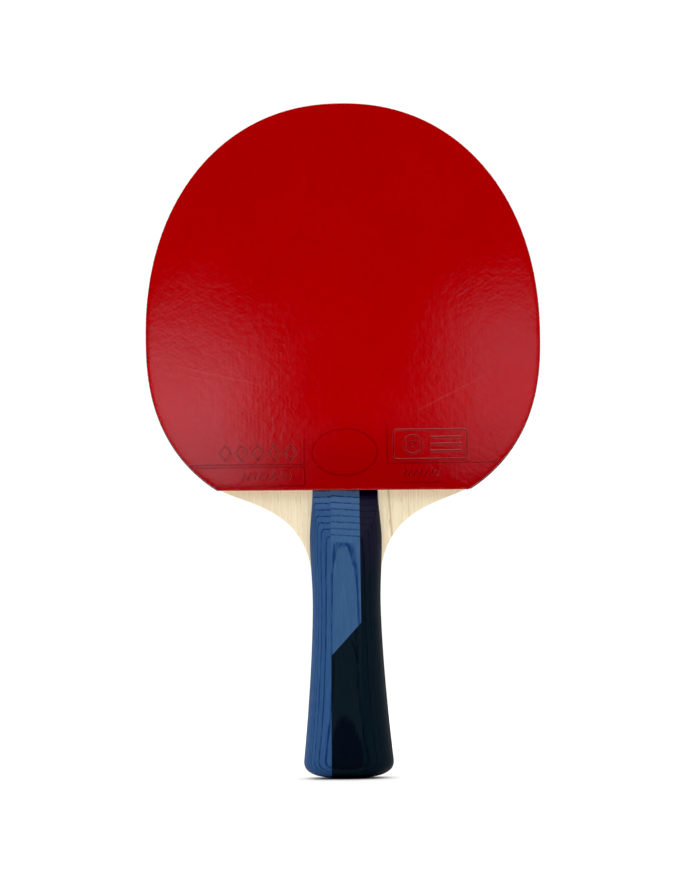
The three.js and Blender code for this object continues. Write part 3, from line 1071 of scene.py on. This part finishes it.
FRAME_HEIGHT = 335.3
LENS_MM = 250.0
SENSOR_MM = 36.0
AIM = (2.15, 74.0)
ROLL_DEG = 0.83
FLOOR_RADIUS = 0.6
BACKDROP_LIGHT = 1.05
ROOM_LIGHT, ROOM_DARK = 2.38, 0.02
ROOM_OPENING = (0.66, 0.88)
SIDE_WALLS, SIDE_WALL_SHARE = (0.45, 0.9), 0.32
BELOW_HORIZON, BELOW_HORIZON_SHARE = (-0.4, 0.02), 0.25
SOFTBOX_COLOUR = (0.97, 0.96, 1.12)
SOFTBOXES = (("left", (-115, -42), (44, 120), 1.6), ("right", (50, 120), (56, 134), 0.98))
SOFTBOX_DISTANCE = 350
WATTS_FOR_RADIANCE = 4  # the power of an area light of one square metre and a radiance of 1
BLACK_LEVEL = 0.006


def add_floor():
    """A round pale floor."""
    mesh = bpy.data.meshes.new("floor")
    z = BUTT_Z * MM
    rim = [(FLOOR_RADIUS * math.cos(t), FLOOR_RADIUS * math.sin(t), z) for t in turns(96)]
    mesh.from_pydata(rim, [], [tuple(range(len(rim)))])
    n = Surface("pale_floor")
    mottle = n.noise(n.position, 0.02, 2.0)
    n.finish(n.mix(mottle, colour(0.74, 0.74, 0.74), colour(0.76, 0.76, 0.76)), 0.9, IOR=1.2)
    mesh.materials.append(n.owner)
    floor = bpy.data.objects.new("floor", mesh)
    bpy.context.scene.collection.objects.link(floor)


def add_panel(name, out, x_range, z_range, radiance):
    """A small softbox in front of one face, placed as seen square on to it. The camera looks past it."""
    width, height = (x_range[1] - x_range[0]) * MM, (z_range[1] - z_range[0]) * MM
    light = bpy.data.lights.new(name, "AREA")
    light.shape = "RECTANGLE"
    light.size = width
    light.size_y = height
    light.energy = radiance * WATTS_FOR_RADIANCE * width * height
    light.color = SOFTBOX_COLOUR
    panel = bpy.data.objects.new(name, light)
    panel.location = (-out * sum(x_range) / 2 * MM, out * SOFTBOX_DISTANCE * MM, sum(z_range) / 2 * MM)
    panel.rotation_euler = (-out * math.pi / 2, 0, 0)
    panel.visible_camera = False
    bpy.context.scene.collection.objects.link(panel)


def add_world():
    """A soft white room, dark before and behind the paddle and fading below the horizon.

    The camera itself sees plain white in place of the room.
    """
    n = Nodes(bpy.data.worlds.new("studio"))
    x, y, z = n.split(n.math_vector("NORMALIZE", n.coordinates.outputs["Generated"]))
    room = n.range(n.math("ABSOLUTE", y), *ROOM_OPENING, ROOM_LIGHT, ROOM_DARK)
    walls = n.range(n.math("ABSOLUTE", x), *SIDE_WALLS, 1.0, SIDE_WALL_SHARE)
    room = n.math("MULTIPLY", room, walls)
    room = n.math("MULTIPLY", room, n.range(z, *BELOW_HORIZON, BELOW_HORIZON_SHARE, 1.0))
    path = n.tree.nodes.new("ShaderNodeLightPath")
    seen = path.outputs["Is Camera Ray"]
    hidden = n.math("SUBTRACT", 1.0, seen)
    strength = n.math("ADD", n.math("MULTIPLY", seen, BACKDROP_LIGHT), n.math("MULTIPLY", hidden, room))
    background = n.tree.nodes["Background"]
    background.inputs["Color"].default_value = colour(1, 1, 1)
    n.link(strength, background.inputs["Strength"])
    bpy.context.scene.world = n.owner


def add_camera():
    """A long lens square on to the red face, rolled as the photograph's camera was."""
    data = bpy.data.cameras.new("camera")
    data.lens = LENS_MM
    data.sensor_width = SENSOR_MM
    data.clip_end = 100
    camera = bpy.data.objects.new("camera", data)
    distance = FRAME_HEIGHT * LENS_MM / SENSOR_MM * MM
    camera.location = (AIM[0] * MM, -distance, AIM[1] * MM)
    camera.rotation_euler = (math.pi / 2, math.radians(ROLL_DEG), 0)
    bpy.context.scene.collection.objects.link(camera)
    bpy.context.scene.camera = camera


add_floor()
add_world()
for side, out in SIDES:
    for hand, x_range, z_range, radiance in SOFTBOXES:
        add_panel(f"softbox_{hand}_{side}", out, x_range, z_range, radiance)
add_camera()

view = bpy.context.scene.view_settings
view.view_transform = "Standard"
view.use_curve_mapping = True
view.curve_mapping.black_level = (BLACK_LEVEL,) * 3
view.curve_mapping.update()
